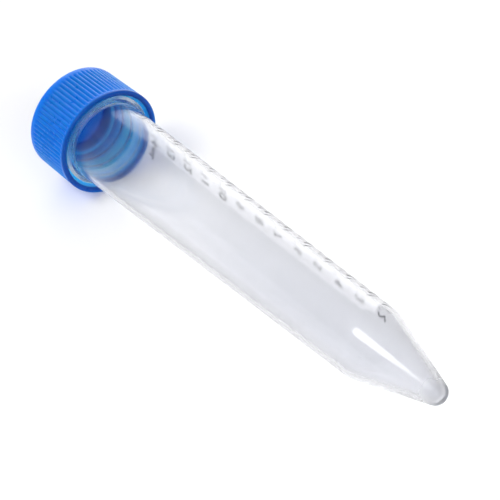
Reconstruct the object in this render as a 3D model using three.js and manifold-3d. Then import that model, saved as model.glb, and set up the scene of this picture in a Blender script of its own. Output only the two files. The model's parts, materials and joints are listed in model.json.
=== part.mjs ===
// A 15 ml conical centrifuge tube with its screw cap, lying on its side as it comes to rest.
// Millimetres. Both pieces are drawn upright, with +Y from the tip to the cap, and laid down at the end.
import * as THREE from "three";
import { mergeVertices } from "three/addons/utils/BufferGeometryUtils.js";
import Module from "manifold-3d";

const wasm = await Module();
wasm.setup();

// Heights are measured up the tube's own axis from the outside of its tip.
const overallLength = 120;
const capHeight = 12.4;
const capTopThickness = 1.4;
const seatGap = 0.3;
const ceilingHeight = overallLength - capTopThickness; // the underside of the cap's top
const mouthHeight = ceilingHeight - seatGap;
const rimHeight = overallLength - capHeight; // the skirt's open edge

// The tube.
const tubeSegments = 60;
const shoulderHeight = 21.5; // where the straight wall turns into the cone
const bodyTopRadius = 8.55;
const shoulderRadius = bodyTopRadius - 0.9;
const neckRadius = bodyTopRadius - 0.1;
const wall = 0.9;
const boreMouthRadius = neckRadius - 0.85;
const lipBevel = 0.3;
const tipRadius = 2.5;
const tipFloor = 1.3;
const boreTipRadius = 1.5;
const collarRadius = neckRadius + 1.15;
const collarBottom = rimHeight + 0.6;
const collarTop = collarBottom + 1.1;
const collarBevel = 0.35;
const threadPitch = 2.9;
const threadTurns = 1.75;
const threadStart = mouthHeight - 7.4; // height of the thread's lower end
const threadBead = 0.85;
const threadPathRadius = neckRadius + 0.15;
const threadStepsPerTurn = 28;
const threadSides = 8;
const threadFade = 10; // the bead sinks into the wall over a tenth of its length at each end

// The cap.
const capSegments = 72;
const ribCount = 72;
const skirtWall = 1.1;
const skirtMouthRadius = collarRadius + 0.6;
const skirtCeilingRadius = skirtMouthRadius - 0.25;
const rimRadius = skirtMouthRadius + skirtWall;
const capTopRadius = rimRadius - 0.25;
const rimBandTop = rimHeight + 0.9;
const shoulderBandBottom = overallLength - 1.8;
const ribDepth = 0.4;
const crestInset = 0.06;
const ribCrestAngle = 1.2; // degrees each side of a rib's middle
const ribFootAngle = 1.9;
const plugRadius = boreMouthRadius - 0.35;
const plugWall = 0.85;
const plugDepth = 3.2;
const topFaceHeight = overallLength - 0.25;
const innerFaceHeight = topFaceHeight - 0.15;
const innerFaceRadius = 7.0;
const topLipInner = capTopRadius - 1.15;
const dimpleRadius = 1.3;
const dimpleDepth = 0.4;
const nubRadius = 0.45;
const nubHeight = 0.3;

const rad = THREE.MathUtils.degToRad;

// A three.js geometry as a solid, from its positions alone.
function solidOf(geometry) {
  const bare = new THREE.BufferGeometry();
  bare.setAttribute("position", geometry.getAttribute("position"));
  if (geometry.index) bare.setIndex(geometry.index);
  const merged = mergeVertices(bare, 1e-4);
  return new wasm.Manifold(
    new wasm.Mesh({
      numProp: 3,
      vertProperties: merged.attributes.position.array,
      triVerts: new Uint32Array(merged.index.array),
    }),
  );
}

// A solid back as a mesh with a name and a material.
function meshOf(solid, name, material) {
  const made = solid.getMesh();
  const geometry = new THREE.BufferGeometry();
  geometry.setAttribute("position", new THREE.BufferAttribute(new Float32Array(made.vertProperties), 3));
  geometry.setIndex(new THREE.BufferAttribute(new Uint32Array(made.triVerts), 1));
  geometry.computeVertexNormals();
  const mesh = new THREE.Mesh(geometry, material);
  mesh.name = name;
  return mesh;
}

// A profile of [radius, height] pairs turned round +Y, with the middle of a facet at its lowest side.
function turned(profile, segments) {
  const points = profile.map(([radius, height]) => new THREE.Vector2(radius, height));
  return new THREE.LatheGeometry(points, segments, Math.PI / segments, 2 * Math.PI);
}

// Points on a quarter or part turn of a round end, from one angle to another in degrees.
function arc(radius, height, size, from, to, steps) {
  return Array.from({ length: steps + 1 }, (_, i) => {
    const angle = rad(from + ((to - from) * i) / steps);
    return [radius + size * Math.sin(angle), height - size * Math.cos(angle)];
  });
}

// How far round the tip's ball the straight cone meets it, in degrees.
function coneMeet(ballRadius, ballHeight, coneRadius, coneHeight) {
  const run = coneHeight - ballHeight;
  const reach = Math.hypot(run, coneRadius);
  return 90 - THREE.MathUtils.radToDeg(Math.atan2(coneRadius, run) - Math.asin(ballRadius / reach));
}

function tubeOutside() {
  const meet = coneMeet(tipRadius, tipRadius, shoulderRadius, shoulderHeight);
  const tip = arc(0, tipRadius, tipRadius, 0, meet, 5);
  tip[0] = [0, 0];
  return turned(
    [
      ...tip,
      [shoulderRadius, shoulderHeight],
      [bodyTopRadius, collarBottom - collarBevel],
      [collarRadius - collarBevel, collarBottom],
      [collarRadius, collarBottom + collarBevel],
      [collarRadius, collarTop - collarBevel],
      [collarRadius - collarBevel, collarTop],
      [neckRadius, collarTop + collarBevel],
      [neckRadius, mouthHeight - lipBevel],
      [neckRadius - lipBevel, mouthHeight],
      [0, mouthHeight],
    ],
    tubeSegments,
  );
}

function tubeInside() {
  const ballHeight = tipFloor + boreTipRadius;
  const coneRadius = shoulderRadius - wall;
  const coneHeight = shoulderHeight + 0.2;
  const meet = coneMeet(boreTipRadius, ballHeight, coneRadius, coneHeight);
  const tip = arc(0, ballHeight, boreTipRadius, 0, meet, 4);
  tip[0] = [0, tipFloor];
  return turned(
    [
      ...tip,
      [coneRadius, coneHeight],
      [boreMouthRadius, mouthHeight - lipBevel],
      [boreMouthRadius + lipBevel, mouthHeight],
      [boreMouthRadius + lipBevel, mouthHeight + 1],
      [0, mouthHeight + 1],
    ],
    tubeSegments,
  );
}

// The right-hand helix that the thread's bead follows. It sinks into the wall at both ends.
class ThreadPath extends THREE.Curve {
  getPoint(t, target = new THREE.Vector3()) {
    const angle = 2 * Math.PI * threadTurns * t;
    const out = Math.min(1, threadFade * Math.min(t, 1 - t));
    const radius = threadPathRadius - threadBead * (1 - out);
    const height = threadStart + threadPitch * threadTurns * t;
    return target.set(radius * Math.sin(angle), height, radius * Math.cos(angle));
  }
}

function threadBar() {
  const section = new THREE.Shape();
  for (let i = 0; i < threadSides; i++) {
    const angle = (2 * Math.PI * i) / threadSides;
    const x = threadBead * Math.cos(angle);
    const y = threadBead * Math.sin(angle);
    if (i === 0) section.moveTo(x, y);
    else section.lineTo(x, y);
  }
  section.closePath();
  return new THREE.ExtrudeGeometry(section, {
    steps: Math.round(threadStepsPerTurn * threadTurns),
    extrudePath: new ThreadPath(),
  });
}

function makeTube() {
  const solid = solidOf(tubeOutside()).add(solidOf(threadBar())).subtract(solidOf(tubeInside()));
  return meshOf(
    solid,
    "tube",
    new THREE.MeshStandardMaterial({ color: 0xdfe3ea, roughness: 0.25, metalness: 0 }),
  );
}

function capShell() {
  const shoulder = arc(capTopRadius - 0.9, overallLength - 0.9, 0.9, 90, 180, 3);
  return turned(
    [
      [0, ceilingHeight],
      [plugRadius - plugWall, ceilingHeight],
      [plugRadius - plugWall, ceilingHeight - plugDepth],
      [plugRadius - 0.25, ceilingHeight - plugDepth],
      [plugRadius, ceilingHeight - plugDepth + 0.6],
      [plugRadius, ceilingHeight],
      [skirtCeilingRadius - 0.4, ceilingHeight],
      [skirtCeilingRadius, ceilingHeight - 0.4],
      [skirtMouthRadius, rimHeight + 0.25],
      [skirtMouthRadius + 0.15, rimHeight],
      [rimRadius - 0.2, rimHeight],
      [rimRadius, rimHeight + 0.2],
      [rimRadius, rimBandTop - 0.15],
      [rimRadius - ribDepth, rimBandTop],
      [capTopRadius - ribDepth, shoulderBandBottom],
      [capTopRadius, shoulderBandBottom + 0.15],
      ...shoulder,
      [topLipInner + 0.15, overallLength],
      [topLipInner, topFaceHeight],
      [innerFaceRadius + 0.15, topFaceHeight],
      [innerFaceRadius, innerFaceHeight],
      [0, innerFaceHeight],
    ],
    capSegments,
  );
}

// The gate mark in the middle of the top: a shallow dimple with a nub left standing in it.
function gateDimple() {
  const floor = innerFaceHeight - dimpleDepth;
  const dimple = new THREE.CylinderGeometry(dimpleRadius, dimpleRadius, 2, 24).translate(0, floor + 1, 0);
  const nub = new THREE.CylinderGeometry(nubRadius, nubRadius, 2 * nubHeight, 12).translate(0, floor, 0);
  return solidOf(dimple).subtract(solidOf(nub));
}

// The cone that the ribs' crests lie on, a little inside the two bands.
function ribEnvelope() {
  const bottom = rimBandTop - 0.3;
  const top = shoulderBandBottom + 0.3;
  return turned(
    [
      [0, bottom],
      [rimRadius - crestInset, bottom],
      [capTopRadius - crestInset, top],
      [0, top],
    ],
    capSegments,
  );
}

// A star with one point for each rib, as tall as the envelope.
function ribStar() {
  const crest = rimRadius + 0.5;
  const foot = capTopRadius - ribDepth - 0.15;
  const outline = [];
  for (let i = 0; i < ribCount; i++) {
    const middle = (360 * i) / ribCount;
    outline.push([foot, middle - ribFootAngle]);
    outline.push([crest, middle - ribCrestAngle]);
    outline.push([crest, middle + ribCrestAngle]);
    outline.push([foot, middle + ribFootAngle]);
  }
  const star = new THREE.Shape(
    outline.map(([radius, angle]) => new THREE.Vector2(radius * Math.cos(rad(angle)), radius * Math.sin(rad(angle)))),
  );
  const height = shoulderBandBottom - rimBandTop + 0.4;
  return new THREE.ExtrudeGeometry(star, { depth: height, bevelEnabled: false })
    .rotateX(-Math.PI / 2)
    .translate(0, rimBandTop - 0.2, 0);
}

// The star without its middle, so that the ribs join the shell and the inside stays open.
function ribs() {
  const inner = skirtMouthRadius + 0.2;
  const middle = new THREE.CylinderGeometry(inner, inner, 2 * overallLength, capSegments);
  return solidOf(ribStar()).intersect(solidOf(ribEnvelope())).subtract(solidOf(middle));
}

function makeCap() {
  const solid = solidOf(capShell()).add(ribs()).subtract(gateDimple());
  return meshOf(
    solid,
    "screw_cap",
    new THREE.MeshStandardMaterial({ color: 0x0b5fd0, roughness: 0.35, metalness: 0 }),
  );
}

// At rest the rim of the cap and the tube's shoulder both touch the ground, each with the flat of a facet.
function restTilt() {
  const rimFlat = rimRadius * Math.cos(Math.PI / capSegments);
  const shoulderFlat = shoulderRadius * Math.cos(Math.PI / tubeSegments);
  return Math.atan2(rimFlat - shoulderFlat, rimHeight + 0.2 - shoulderHeight);
}

const part = new THREE.Group();
part.add(makeTube(), makeCap());

// Lay the tube along X with its tip towards +X, then set it on the ground about the origin.
part.applyMatrix4(new THREE.Matrix4().makeRotationZ(Math.PI / 2));
part.applyMatrix4(new THREE.Matrix4().makeRotationY(restTilt()));
const box = new THREE.Box3().setFromObject(part, true);
const middle = box.getCenter(new THREE.Vector3());
part.position.add(new THREE.Vector3(-middle.x, -middle.y, -box.min.z));

export default part;
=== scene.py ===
import json
import math

import bmesh
import bpy
from mathutils import Matrix, Vector


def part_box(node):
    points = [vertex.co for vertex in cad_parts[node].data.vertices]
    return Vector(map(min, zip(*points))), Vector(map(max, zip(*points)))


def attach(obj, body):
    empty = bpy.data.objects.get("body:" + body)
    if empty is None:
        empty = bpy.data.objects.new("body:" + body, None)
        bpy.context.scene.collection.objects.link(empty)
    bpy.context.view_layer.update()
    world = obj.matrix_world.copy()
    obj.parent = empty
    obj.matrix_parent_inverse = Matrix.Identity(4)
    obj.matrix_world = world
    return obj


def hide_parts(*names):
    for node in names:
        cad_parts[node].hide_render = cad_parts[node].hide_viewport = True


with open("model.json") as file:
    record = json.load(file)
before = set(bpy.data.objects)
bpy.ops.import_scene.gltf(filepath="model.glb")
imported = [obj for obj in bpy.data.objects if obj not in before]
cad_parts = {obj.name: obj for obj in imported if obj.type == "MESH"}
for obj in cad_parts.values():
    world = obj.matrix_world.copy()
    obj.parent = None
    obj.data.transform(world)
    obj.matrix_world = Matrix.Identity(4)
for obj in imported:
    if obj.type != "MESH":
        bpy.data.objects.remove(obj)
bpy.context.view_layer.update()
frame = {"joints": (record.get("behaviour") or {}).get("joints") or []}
print("frame loaded")


class Signal:
    # One output of a node. Sums of signals become Math nodes, and make() adds any other node.
    def __init__(self, tree, socket):
        self.tree = tree
        self.socket = socket

    def make(self, kind, settings, inputs, output=0):
        node = self.tree.nodes.new(kind)
        for key, value in settings.items():
            setattr(node, key, value)
        for key, value in inputs.items():
            if isinstance(value, Signal):
                self.tree.links.new(value.socket, node.inputs[key])
            else:
                node.inputs[key].default_value = value
        return Signal(self.tree, node.outputs[output])

    def maths(self, operation, *values):
        inputs = dict(enumerate(values))
        return self.make("ShaderNodeMath", {"operation": operation}, inputs)

    def __add__(self, other):
        return self.maths("ADD", self, other)

    __radd__ = __add__

    def __mul__(self, other):
        return self.maths("MULTIPLY", self, other)

    __rmul__ = __mul__

    # This signal run from one range to another, held at both ends.
    def spread(self, low, high, toLow, toHigh):
        inputs = {
            "Value": self, "From Min": low, "From Max": high, "To Min": toLow, "To Max": toHigh,
        }
        return self.make("ShaderNodeMapRange", {}, inputs)

    def mixed(self, first, second):
        inputs = {0: self, 6: first, 7: second}
        return self.make("ShaderNodeMix", {"data_type": "RGBA"}, inputs, 2)

    def stretched(self, scale):
        inputs = {"Vector": self, "Scale": scale}
        return self.make("ShaderNodeMapping", {"vector_type": "POINT"}, inputs)

    def noise(self, scale, detail, roughness):
        inputs = {"Vector": self, "Scale": scale, "Detail": detail, "Roughness": roughness}
        return self.make("ShaderNodeTexNoise", {}, inputs)

    def bump(self, strength, distance):
        inputs = {"Height": self, "Strength": strength, "Distance": distance}
        return self.make("ShaderNodeBump", {}, inputs)


# A new material with its own tree. It returns the material, the object's coordinates turned back
# upright in metres from the tip, and the output node's socket.
def startMaterial(name):
    material = bpy.data.materials.new(name)
    material.use_nodes = True
    tree = material.node_tree
    tree.nodes.clear()
    output = tree.nodes.new("ShaderNodeOutputMaterial")
    place = Signal(tree, tree.nodes.new("ShaderNodeTexCoord").outputs["Object"])
    raised = Matrix.Rotation(-layDown, 3, "Y") @ tipPlace
    along = place.make(
        "ShaderNodeMapping",
        {"vector_type": "POINT"},
        {"Vector": place, "Rotation": (0, -layDown, 0), "Location": -raised},
    )
    return material, along, output.inputs["Surface"]


# The height up the axis and the distance from it, in millimetres as the dictionaries give them.
def heightUp(along):
    return along.make("ShaderNodeSeparateXYZ", {}, {"Vector": along}, "Z") * 1000


def radiusOut(along):
    inputs = {0: along, 1: (1, 1, 0)}
    flat = along.make("ShaderNodeVectorMath", {"operation": "MULTIPLY"}, inputs)
    return flat.make("ShaderNodeVectorMath", {"operation": "LENGTH"}, {0: flat}, "Value") * 1000


# A wire through [radius, height, rounding] corners, its corners rounded, spun round the axis.
# Each row of fineWalls picks the wall that spans two heights between two radii, and its cuts.
def spunShell(corners, steps, fineWalls):
    bm = bmesh.new()
    wire = [bm.verts.new((radius, 0, height)) for radius, height, rounding in corners]
    for first, second in zip(wire, wire[1:]):
        bm.edges.new((first, second))
    for vert, (radius, height, rounding) in zip(wire, corners):
        if rounding:
            segments = 7 if rounding > 0.5 else 4  # a wide rounding shows its facets
            bmesh.ops.bevel(
                bm, geom=[vert], offset=rounding, segments=segments,
                profile=0.5, affect="VERTICES", material=-1,
            )
    for low, high, inside, outside, cuts in fineWalls:
        for edge in bm.edges[:]:
            heights = [vert.co.z for vert in edge.verts]
            radii = [vert.co.x for vert in edge.verts]
            spans = min(heights) < low and max(heights) > high
            if spans and inside < min(radii) and max(radii) < outside:
                bmesh.ops.subdivide_edges(bm, edges=[edge], cuts=cuts)
    bmesh.ops.spin(
        bm, geom=bm.verts[:] + bm.edges[:], cent=(0, 0, 0), axis=(0, 0, 1),
        angle=2 * math.pi, steps=steps, use_merge=True, use_duplicate=False,
    )
    bmesh.ops.remove_doubles(bm, verts=bm.verts[:], dist=0.0005)
    return bm


# Puts an upright mesh in its lying place and makes it a piece of the object.
def finishPiece(bm, name, material, body, node=None):
    bmesh.ops.recalc_face_normals(bm, faces=bm.faces[:])
    bmesh.ops.transform(bm, matrix=upright, verts=bm.verts[:])
    for face in bm.faces:
        face.smooth = True
    mesh = bpy.data.meshes.new(name)
    bm.to_mesh(mesh)
    bm.free()
    piece = bpy.data.objects.new(name, mesh)
    bpy.context.scene.collection.objects.link(piece)
    mesh.materials.append(material)
    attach(piece, body)
    if node:
        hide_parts(node)
    print(name, "has", len(mesh.polygons), "faces")


def smoothStep(value):
    held = min(1, max(0, value))
    return held * held * (3 - 2 * held)


# How far a point stands inside a thread's ridge, from 0 to 1, and 0 away from it.
# The ridge runs a little beyond its turns, and fades there over a part of a turn.
def ridge(angle, height, start, pitch, turns, halfWidth):
    beyond, fadeTurns, sharpness = 0.06, 0.16, 1.4
    around = (angle / (2 * math.pi)) % 1
    best = 0
    for turn in range(math.ceil(turns) + 1):
        progress = around + turn
        offset = height - start - pitch * progress
        if abs(offset) < halfWidth and -beyond < progress < turns + beyond:
            fade = smoothStep(min(progress + beyond, turns + beyond - progress) / fadeTurns)
            best = max(best, fade * math.cos(math.pi / 2 * offset / halfWidth) ** sharpness)
    return best


tubeValues = {  # millimetres, heights up the axis from the outside of the tip
    "tipCorner": 1.92,
    "tipRound": 1.88,
    "tipBall": 2.5,
    "shoulderRadius": 7.65,
    "shoulderHeight": 21.5,
    "shoulderRound": 1.6,
    "bodyTopRadius": 8.55,
    "bodyTopHeight": 107.8,
    "collarRadius": 9.6,
    "collarBottom": 108.2,
    "collarTop": 109.3,
    "collarRound": 0.35,
    "collarInset": 0.05,
    "neckRadius": 8.45,
    "neckBottom": 109.65,
    "neckRound": 0.25,
    "mouthHeight": 118.3,
    "mouthRound": 0.38,
    "mouthBore": 7.6,
    "mouthBoreRound": 0.3,
    "boreShoulderRadius": 6.75,
    "boreShoulderHeight": 21.7,
    "boreShoulderRound": 1.4,
    "floorHeight": 1.3,
    "floorCorner": 1.15,
    "floorRound": 1.12,
    "threadFrom": 8.3,  # walls inside this radius carry no thread
    "threadStart": 110.9,
    "threadPitch": 2.9,
    "threadTurns": 1.75,
    "threadHeight": 1.0,
    "threadHalfWidth": 1.05,
    "threadRows": 46,
    "steps": 160,
    "paleTint": (0.865, 0.868, 0.877, 1),
    "shadedTint": (0.757, 0.762, 0.784, 1),
    "shadeToPale": (50, 106),  # the heights over which the painted shade fades: darker towards the tip, paler by the cap
    "tipTint": (0.635, 0.64, 0.665, 1),  # solid, so as deep in tone as two walls
    "solidToHollow": (1.2, 3.6),
    "mattToGloss": (1, 12),  # the gate leaves the tip matt
    "edgeTint": (0.94, 0.941, 0.95, 1),
    "collarFade": 0.3,
    "shadowTint": (0.965, 0.967, 0.973, 1),
    "streaks": (260, 260, 14),
}

# Where the upright tube goes: its axis follows the way the cap lifts, and its shoulder rests
# on the floor.
liftWay = Vector(frame["joints"][0]["axis"])
tilt = math.atan2(liftWay.z, -liftWay.x)
layDown = tilt - math.pi / 2
tipReach = tubeValues["tipBall"] * (1 - math.cos(tilt))
tipRise = (
    tubeValues["shoulderRadius"] * math.cos(tilt) - tubeValues["shoulderHeight"] * math.sin(tilt)
)
tipPlace = Vector((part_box("tube")[1].x - tipReach / 1000, 0, tipRise / 1000))
upright = (
    Matrix.Translation(tipPlace)
    @ Matrix.Rotation(layDown, 4, "Y")
    @ Matrix.Scale(0.001, 4)
)


def clearPlastic(values):
    material, along, surface = startMaterial("clearPlastic")
    height = heightUp(along)
    bottom, top, fade = values["collarBottom"], values["collarTop"], values["collarFade"]
    collar = height.spread(bottom - fade, bottom, 0, 1) * height.spread(top, top + fade, 1, 0)
    flow = along.stretched(values["streaks"]).noise(scale=1.0, detail=3.0, roughness=0.55)
    haze = along.noise(scale=90, detail=3.0, roughness=0.6)
    fine = along.noise(scale=2600, detail=1.0, roughness=0.5)
    # Painted shade: the body is darker towards the tip and paler by the cap. The haze adds tone
    # that differs at random.
    deep = height.spread(*values["shadeToPale"], 0.8, 0) + haze.spread(0.3, 0.7, 0, 0.2)
    body = deep.mixed(values["paleTint"], values["shadedTint"])
    solid = height.spread(*values["solidToHollow"], 1, 0)
    facing = along.make("ShaderNodeLayerWeight", {}, {"Blend": 0.5}, "Facing")
    edge = (facing.spread(0.5, 0.95, 0, 1) + collar).spread(0, 1, 0, 1)
    matt = height.spread(*values["mattToGloss"], 0.22, 0)
    worn = flow.spread(0.3, 0.75, 0.07, 0.115) + haze.spread(0.35, 0.7, 0, 0.02)
    plastic = along.make(
        "ShaderNodeBsdfPrincipled", {},
        {
            "Base Color": edge.mixed(solid.mixed(body, values["tipTint"]), values["edgeTint"]),
            "Roughness": worn + collar * 0.4 + matt,
            "Normal": (flow * 0.7 + fine * 0.3).bump(strength=0.012, distance=0.0003),
            "IOR": 1.35,
            "Transmission Weight": 0.995,
        },
    )
    veil = along.make("ShaderNodeBsdfTransparent", {}, {"Color": values["shadowTint"]})
    lamp = along.make("ShaderNodeLightPath", {}, {}, "Is Shadow Ray")  # lamps shine through it
    both = along.make("ShaderNodeMixShader", {}, {0: lamp, 1: plastic, 2: veil})
    along.tree.links.new(both.socket, surface)
    return material


def makeTube(values):
    collarBottom = values["collarBottom"] + values["collarInset"]
    collarTop = values["collarTop"] - values["collarInset"]
    corners = [
        (0, 0, 0),
        (values["tipCorner"], 0, values["tipRound"]),
        (values["shoulderRadius"], values["shoulderHeight"], values["shoulderRound"]),
        (values["bodyTopRadius"], values["bodyTopHeight"], values["neckRound"]),
        (values["collarRadius"], collarBottom, values["collarRound"]),
        (values["collarRadius"], collarTop, values["collarRound"]),
        (values["neckRadius"], values["neckBottom"], values["neckRound"]),
        (values["neckRadius"], values["mouthHeight"], values["mouthRound"]),
        (values["mouthBore"], values["mouthHeight"], values["mouthBoreRound"]),
        (values["boreShoulderRadius"], values["boreShoulderHeight"], values["boreShoulderRound"]),
        (values["floorCorner"], values["floorHeight"], values["floorRound"]),
        (0, values["floorHeight"], 0),
    ]
    low, high = values["neckBottom"] + 1, values["mouthHeight"] - 1
    neckWall = (low, high, values["mouthBore"], values["collarRadius"], values["threadRows"])
    bm = spunShell(corners, values["steps"], [neckWall])
    for vert in bm.verts:
        radius = math.hypot(vert.co.x, vert.co.y)
        if radius > values["threadFrom"] and vert.co.z > values["neckBottom"]:
            rise = values["threadHeight"] * ridge(
                math.atan2(vert.co.y, vert.co.x), vert.co.z, values["threadStart"],
                values["threadPitch"], values["threadTurns"], values["threadHalfWidth"],
            )
            vert.co.xy *= (radius + rise) / radius
    finishPiece(bm, "tubeShell", clearPlastic(values), "tube", "tube")


capValues = {  # millimetres, heights up the same axis
    "nubRadius": 0.45,
    "nubHeight": 119.5,
    "nubRound": 0.12,
    "nubDraft": 0.05,
    "nubFootRound": 0.08,
    "dimpleRadius": 1.3,
    "dimpleHeight": 119.2,
    "dimpleDraft": 0.1,
    "dimpleRound": 0.12,
    "innerFaceRadius": 7.0,
    "innerFaceHeight": 119.6,
    "faceHeight": 119.75,
    "faceRound": 0.1,
    "stepDraft": 0.15,
    "lipInside": 9.9,
    "lipFootRound": 0.12,
    "lipRound": 0.1,
    "top": 120,
    "topRadius": 11.05,
    "shoulderRound": 0.95,
    "rimRadius": 11.3,
    "rimHeight": 107.6,
    "rimRound": 0.22,
    "skirtMouth": 10.2,
    "skirtMouthRound": 0.18,
    "skirtCeiling": 9.95,
    "ceiling": 118.6,
    "ceilingRound": 0.6,
    "plugRadius": 7.25,
    "plugFootRound": 0.3,
    "plugBottom": 115.4,
    "plugEndRound": 0.35,
    "plugBore": 6.4,
    "plugBoreRound": 0.3,
    "plugCeilingRound": 0.4,
    "wallMiddle": 10.75,  # between the skirt's outside and its inside
    "outsideRows": 34,
    "insideRows": 40,
    "ribs": 72,
    "stepsPerRib": 6,
    "ribDepth": 0.36,
    "ribCrest": 0.32,  # shares of half a rib
    "ribSlope": 0.6,
    "ribTop": 118.3,
    "ribTopFade": 0.6,
    "ribBottom": 108.4,
    "ribBottomFade": 0.5,
    "threadFrom": 9.8,  # walls inside this radius carry no thread
    "threadTurns": 1.3,
    "threadDepth": 0.95,
    "threadHalfWidth": 0.75,
    "outerTints": [(0.0, 0.145, 0.63, 1), (0.0, 0.165, 0.7, 1)],
    "insideTint": (0.06, 0.48, 1, 1),  # light shows through the thin skirt
    "insideRadii": (10.2, 10.5),  # the radii and heights that a change runs over
    "insideHeights": (113, 118.3),
    "paintedShadeTint": (0.0, 0.04, 0.22, 1),  # painted shade on the rim, the skirt's mouth and the far end inside
    "rimHeights": (107.8, 108.3),
    "mouthHeights": (108.5, 110.8),
    "mouthRadii": (10.4, 10.8),
    "farEndHeights": (114, 116.5),
    "farEndRadii": (9.8, 10.2),
    "topHeights": (119, 119.1),
    "wornTint": (0.01, 0.22, 0.8, 1),
    "scuffs": (900, 900, 130),
}


def bluePlastic(values):
    material, along, surface = startMaterial("bluePlastic")
    height = heightUp(along)
    radius = radiusOut(along)
    cloud = along.noise(scale=120, detail=3.0, roughness=0.6)
    grain = along.noise(scale=3200, detail=2.0, roughness=0.6)
    scuff = along.stretched(values["scuffs"]).noise(scale=1.0, detail=4.0, roughness=0.7)
    outer = cloud.spread(0.3, 0.7, 0, 1).mixed(*values["outerTints"])
    # Painted light: the inside of the skirt is lighter, as if light showed through it.
    inside = radius.spread(*values["insideRadii"], 1, 0)
    inside = inside * height.spread(*values["insideHeights"], 1, 0)
    # Painted shade: the rim, the skirt's mouth and the far end of the inside are darker.
    rim = height.spread(*values["rimHeights"], 0.9, 0)
    mouth = height.spread(*values["mouthHeights"], 0.45, 0)
    mouth = mouth * radius.spread(*values["mouthRadii"], 1, 0)
    farEnd = radius.spread(*values["farEndRadii"], 0.8, 0)
    farEnd = farEnd * height.spread(*values["farEndHeights"], 0, 1)
    farEnd = farEnd * height.spread(*values["topHeights"], 1, 0)
    tint = inside.mixed(outer, values["insideTint"])
    tint = (rim + mouth + farEnd).mixed(tint, values["paintedShadeTint"])
    plastic = along.make(
        "ShaderNodeBsdfPrincipled", {},
        {
            "Base Color": scuff.spread(0.62, 0.8, 0, 0.22).mixed(tint, values["wornTint"]),
            "Roughness": cloud.spread(0.3, 0.7, 0.25, 0.32) + scuff.spread(0.5, 0.8, 0, 0.12),
            "Normal": grain.bump(strength=0.08, distance=0.0003),
            "IOR": 1.49,
            "Specular IOR Level": 0.16,
            "Subsurface Weight": 0.8,
            "Subsurface Scale": 0.006,
            "Subsurface Radius": (0.1, 0.7, 1.0),
        },
    )
    along.tree.links.new(plastic.socket, surface)
    return material


def makeCap(values):
    nubFoot = values["nubRadius"] + values["nubDraft"]
    dimpleFoot = values["dimpleRadius"] - values["dimpleDraft"]
    faceInside = values["innerFaceRadius"] + values["stepDraft"]
    lipTop = values["lipInside"] + values["stepDraft"]
    corners = [
        (0, values["nubHeight"], 0),
        (values["nubRadius"], values["nubHeight"], values["nubRound"]),
        (nubFoot, values["dimpleHeight"], values["nubFootRound"]),
        (dimpleFoot, values["dimpleHeight"], values["dimpleRound"]),
        (values["dimpleRadius"], values["innerFaceHeight"], values["dimpleRound"]),
        (values["innerFaceRadius"], values["innerFaceHeight"], values["faceRound"]),
        (faceInside, values["faceHeight"], values["faceRound"]),
        (values["lipInside"], values["faceHeight"], values["lipFootRound"]),
        (lipTop, values["top"], values["lipRound"]),
        (values["topRadius"], values["top"], values["shoulderRound"]),
        (values["rimRadius"], values["rimHeight"], values["rimRound"]),
        (values["skirtMouth"], values["rimHeight"], values["skirtMouthRound"]),
        (values["skirtCeiling"], values["ceiling"], values["ceilingRound"]),
        (values["plugRadius"], values["ceiling"], values["plugFootRound"]),
        (values["plugRadius"], values["plugBottom"], values["plugEndRound"]),
        (values["plugBore"], values["plugBottom"], values["plugBoreRound"]),
        (values["plugBore"], values["ceiling"], values["plugCeilingRound"]),
        (0, values["ceiling"], 0),
    ]
    low, high, middle = values["ribBottom"] + 1, values["ribTop"] - 1, values["wallMiddle"]
    outsideWall = (low, high, middle, values["rimRadius"] + 1, values["outsideRows"])
    insideWall = (low, high, values["plugRadius"], middle, values["insideRows"])
    steps = values["ribs"] * values["stepsPerRib"]
    bm = spunShell(corners, steps, [outsideWall, insideWall])
    pitch = tubeValues["threadPitch"]
    threadStart = tubeValues["threadStart"] - pitch / 2  # between the turns of the neck's thread
    for vert in bm.verts:
        radius = math.hypot(vert.co.x, vert.co.y)
        angle = math.atan2(vert.co.y, vert.co.x)
        height = vert.co.z
        moved = 0
        if radius > middle:
            phase = abs((angle * values["ribs"] / (2 * math.pi) + 0.5) % 1 - 0.5) * 2
            valley = smoothStep((phase - values["ribCrest"]) / values["ribSlope"])
            foot = smoothStep((height - values["ribBottom"]) / values["ribBottomFade"])
            head = smoothStep((values["ribTop"] - height) / values["ribTopFade"])
            moved = -values["ribDepth"] * valley * (foot * head)
        elif radius > values["threadFrom"]:
            moved = -values["threadDepth"] * ridge(
                angle, height, threadStart, pitch,
                values["threadTurns"], values["threadHalfWidth"],
            )
        if moved:
            vert.co.xy *= (radius + moved) / radius
    finishPiece(bm, "screwCap", bluePlastic(values), "cap", "screw_cap")


printValues = {  # millimetres on the wall, angles in degrees round the tube from its upper side
    "tickMiddle": 60.0,
    "longTick": 6.4,
    "shortTick": 3.9,
    "tickColumns": 14,
    "lineWidth": 0.42,
    "numberStart": 4.3,
    "digitSize": 3.6,
    "unitSize": 2.3,
    "unitGap": 0.4,
    "unitRise": 0.4,
    "boldness": 0.012,  # shares of the letters' size
    "pointGap": 0.004,
    "column": 0.35,
    "lift": 0.012,
    "thickness": 0.02,
    "firstMark": 14,  # millilitres
    "lastMark": 1.5,
    "tints": [(0.012, 0.012, 0.014, 1), (0.05, 0.05, 0.055, 1)],
}


def blackInk(values):
    material, along, surface = startMaterial("blackInk")
    speck = along.noise(scale=1500, detail=3.0, roughness=0.6)
    ink = along.make(
        "ShaderNodeBsdfPrincipled", {},
        {
            "Base Color": speck.spread(0.35, 0.75, 0, 1).mixed(*values["tints"]),
            "Roughness": speck.spread(0.3, 0.7, 0.6, 0.75),
            "Normal": speck.bump(strength=0.2, distance=0.0001),
            "Specular IOR Level": 0.1,
        },
    )
    along.tree.links.new(ink.socket, surface)
    return material


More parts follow.
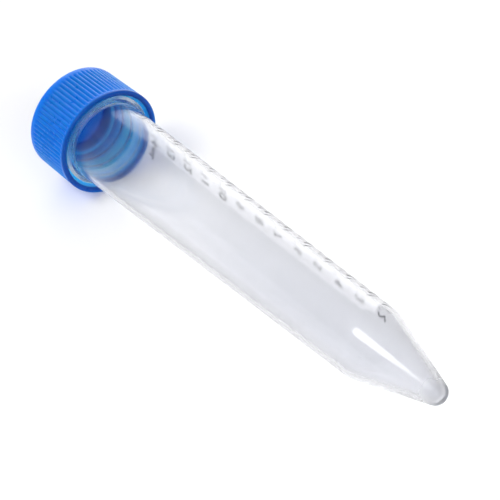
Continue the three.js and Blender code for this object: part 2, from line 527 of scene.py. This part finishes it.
# The bore's radius at a height, and the height up to which it holds a volume in millilitres.
def boreRadius(height):
    tube = tubeValues
    if height < tube["boreShoulderHeight"]:
        low, lowRadius = tube["floorHeight"], tube["floorCorner"]
        high, highRadius = tube["boreShoulderHeight"], tube["boreShoulderRadius"]
    else:
        low, lowRadius = tube["boreShoulderHeight"], tube["boreShoulderRadius"]
        high, highRadius = tube["mouthHeight"], tube["mouthBore"]
    return lowRadius + (highRadius - lowRadius) * (height - low) / (high - low)


def heightOf(volume):
    height, held, step = tubeValues["floorHeight"], 0, 0.02
    while held < volume * 1000:
        held += math.pi * boreRadius(height + step / 2) ** 2 * step
        height += step
    return height


def wallRadius(height):
    tube = tubeValues
    low, lowRadius = tube["shoulderHeight"], tube["shoulderRadius"]
    share = (height - low) / (tube["bodyTopHeight"] - low)
    return lowRadius + (tube["bodyTopRadius"] - lowRadius) * share


# A flat tick as a grid with columns fine enough to bend.
def flatTick(bm, length, width, height, columns):
    made = bmesh.ops.create_grid(bm, x_segments=columns, y_segments=1, size=0.5)
    bmesh.ops.scale(bm, vec=(length, width, 1), verts=made["verts"])
    bmesh.ops.translate(bm, vec=(0, height, 0), verts=made["verts"])


# Moves the outline of flat letters outwards and fills it again. Outline points closer than
# a gap merge first.
def thicken(part, gap, amount):
    bmesh.ops.remove_doubles(part, verts=part.verts[:], dist=gap)
    ways = {}
    for edge in part.edges:
        if edge.is_boundary:
            loop = edge.link_loops[0]
            along = (loop.link_loop_next.vert.co - loop.vert.co).normalized()
            for vert in edge.verts:
                ways.setdefault(vert, []).append(Vector((along.y, -along.x, 0)))
    for vert, (first, second) in ways.items():
        vert.co += (first + second) * amount / (1 + first.dot(second))
    inner = [edge for edge in part.edges if not edge.is_boundary]
    bmesh.ops.delete(part, geom=inner, context="EDGES")
    bmesh.ops.triangle_fill(part, use_beauty=True, edges=part.edges[:], normal=(0, 0, 1))


# Text as a flat mesh, its left edge at start and its middle at a height. It returns its width.
def flatText(bm, words, size, start, height, values):
    curve = bpy.data.curves.new("words", "FONT")
    curve.body = words
    curve.size = size
    curve.resolution_u = 4
    carrier = bpy.data.objects.new("words", curve)
    bpy.context.scene.collection.objects.link(carrier)
    bpy.context.view_layer.update()
    filled = carrier.evaluated_get(bpy.context.evaluated_depsgraph_get())
    mesh = bpy.data.meshes.new_from_object(filled)
    bpy.data.objects.remove(carrier)
    part = bmesh.new()
    part.from_mesh(mesh)
    bpy.data.meshes.remove(mesh)
    thicken(part, size * values["pointGap"], size * values["boldness"])
    low = Vector([min(vert.co[i] for vert in part.verts) for i in range(3)])
    high = Vector([max(vert.co[i] for vert in part.verts) for i in range(3)])
    shift = (start - low.x, height - (low.y + high.y) / 2, 0)
    bmesh.ops.translate(part, vec=shift, verts=part.verts[:])
    cut = start + values["column"]
    while cut < start + high.x - low.x:
        bmesh.ops.bisect_plane(
            part, geom=part.verts[:] + part.edges[:] + part.faces[:],
            plane_co=(cut, 0, 0), plane_no=(1, 0, 0),
        )
        cut += values["column"]
    joined = bpy.data.meshes.new("words")
    part.to_mesh(joined)
    part.free()
    bm.from_mesh(joined)
    bpy.data.meshes.remove(joined)
    return high.x - low.x


def makePrint(values):
    bm = bmesh.new()
    firstHalf, lastHalf = round(values["firstMark"] * 2), round(values["lastMark"] * 2)
    for halves in range(firstHalf, lastHalf - 1, -1):  # half millilitres
        height = heightOf(halves / 2)
        whole = halves % 2 == 0
        length = values["longTick"] if whole else values["shortTick"]
        flatTick(bm, length, values["lineWidth"], height, values["tickColumns"])
        if whole:
            start = values["numberStart"]
            width = flatText(bm, str(halves // 2), values["digitSize"], start, height, values)
            if halves == firstHalf:
                start += width + values["unitGap"]
                raised = height + values["unitRise"]
                flatText(bm, "mL", values["unitSize"], start, raised, values)
    bmesh.ops.remove_doubles(bm, verts=bm.verts[:], dist=0.001)
    bmesh.ops.recalc_face_normals(bm, faces=bm.faces[:])
    if bm.faces[0].normal.z < 0:
        bmesh.ops.reverse_faces(bm, faces=bm.faces[:])
    for vert in bm.verts:  # roll the flat print round the wall
        radius = wallRadius(vert.co.y) + values["lift"]
        angle = math.radians(values["tickMiddle"]) + vert.co.x / radius
        vert.co = (radius * math.cos(angle), radius * math.sin(angle), vert.co.y)
    bmesh.ops.solidify(bm, geom=bm.faces[:], thickness=-values["thickness"])
    finishPiece(bm, "scalePrint", blackInk(values), "tube")


floorValues = {  # metres
    "radius": 4,
    "drop": 0.00002,
    "sides": 96,
    "tints": [(0.94, 0.94, 0.943, 1), (0.96, 0.96, 0.963, 1)],
}


def paleFloor(values):
    material = bpy.data.materials.new("paleFloor")
    material.use_nodes = True
    tree = material.node_tree
    shader = tree.nodes["Principled BSDF"]
    place = Signal(tree, tree.nodes.new("ShaderNodeTexCoord").outputs["Object"])
    cloud = place.noise(scale=14, detail=3.0, roughness=0.6)
    rough = cloud.spread(0.3, 0.7, 0.55, 0.65)
    tree.links.new(cloud.mixed(*values["tints"]).socket, shader.inputs["Base Color"])
    tree.links.new(rough.socket, shader.inputs["Roughness"])
    return material


def makeFloor(values):
    bm = bmesh.new()
    bmesh.ops.create_circle(bm, cap_ends=True, segments=values["sides"], radius=values["radius"])
    mesh = bpy.data.meshes.new("floor")
    bm.to_mesh(mesh)
    bm.free()
    floor = bpy.data.objects.new("floor", mesh)
    bpy.context.scene.collection.objects.link(floor)
    mesh.materials.append(paleFloor(values))
    floor.location.z = -values["drop"]
    print("floor laid")


# The way from the tube to each lamp, in metres and watts. The back panel casts no shadow,
# because its light passes through the thin skirt of the cap.
lampValues = {
    "key": {
        "way": (-0.12, -0.535, 0.835), "far": 6, "power": 120, "shadow": True,
        "shape": "ELLIPSE", "wide": 2.5, "high": 2.5,
    },
    "fill": {
        "way": (0.95, -0.15, 0.42), "far": 1.1, "power": 6, "shadow": True,
        "shape": "ELLIPSE", "wide": 1.0, "high": 0.8,
    },
    "back": {
        "way": (-0.807, 0.429, 0.407), "far": 3, "power": 58, "shadow": False,
        "shape": "RECTANGLE", "wide": 3.0, "high": 2.5,
    },
}


def makeLamps(lamps):
    for name, values in lamps.items():
        lamp = bpy.data.lights.new(name, "AREA")
        lamp.shape = values["shape"]
        lamp.size = values["wide"]
        lamp.size_y = values["high"]
        lamp.energy = values["power"]
        lamp.use_shadow = values["shadow"]
        holder = bpy.data.objects.new(name, lamp)
        bpy.context.scene.collection.objects.link(holder)
        way = Vector(values["way"]).normalized()
        holder.location = way * values["far"]
        holder.rotation_euler = way.to_track_quat("Z", "Y").to_euler()
        print(name, "lamp hung")


roomValues = {  # pale walls, darker up to a dimmer ceiling
    "walls": (0.66, 0.66, 0.67, 1),
    "ceiling": (0.42, 0.42, 0.43, 1),
    "ceilingFrom": 0.7,
}


def makeRoom(values):
    world = bpy.data.worlds.new("studio")
    world.use_nodes = True
    tree = world.node_tree
    way = Signal(tree, tree.nodes.new("ShaderNodeTexCoord").outputs["Generated"])
    height = way.make("ShaderNodeSeparateXYZ", {}, {"Vector": way}, "Z")
    ceiling = height.spread(0, values["ceilingFrom"], 0, 1)
    glow = ceiling.mixed(values["walls"], values["ceiling"])
    tree.links.new(glow.socket, tree.nodes["Background"].inputs["Color"])
    bpy.context.scene.world = world
    print("room lit")


cameraValues = {
    "azimuth": 60.2,  # degrees
    "elevation": 36.7,
    "roll": 10.5,
    "distance": 0.8,  # metres
    "nearest": 0.01,
    "aimHeight": 60,  # millimetres up the tube's axis
    "lens": 300,
}


def makeCamera(values):
    azimuth = math.radians(values["azimuth"])
    elevation = math.radians(values["elevation"])
    back = Vector((
        math.sin(azimuth) * math.cos(elevation),
        -math.cos(azimuth) * math.cos(elevation),
        math.sin(elevation),
    ))
    aim = upright @ Vector((0, 0, values["aimHeight"]))
    camera = bpy.data.objects.new("camera", bpy.data.cameras.new("camera"))
    bpy.context.scene.collection.objects.link(camera)
    camera.data.lens = values["lens"]
    camera.data.clip_start = values["nearest"]
    camera.matrix_world = (
        Matrix.Translation(aim + back * values["distance"])
        @ back.to_track_quat("Z", "Y").to_matrix().to_4x4()
        @ Matrix.Rotation(math.radians(-values["roll"]), 4, "Z")
    )
    bpy.context.scene.camera = camera
    print("camera set")


makeTube(tubeValues)
makeCap(capValues)
makePrint(printValues)
makeFloor(floorValues)
makeLamps(lampValues)
makeRoom(roomValues)
makeCamera(cameraValues)
bpy.context.scene.view_settings.view_transform = "Standard"
bounces = {"max_bounces": 24, "glossy_bounces": 12, "transmission_bounces": 24}
for name, number in bounces.items():  # enough to see out through both walls
    setattr(bpy.context.scene.cycles, name, number)
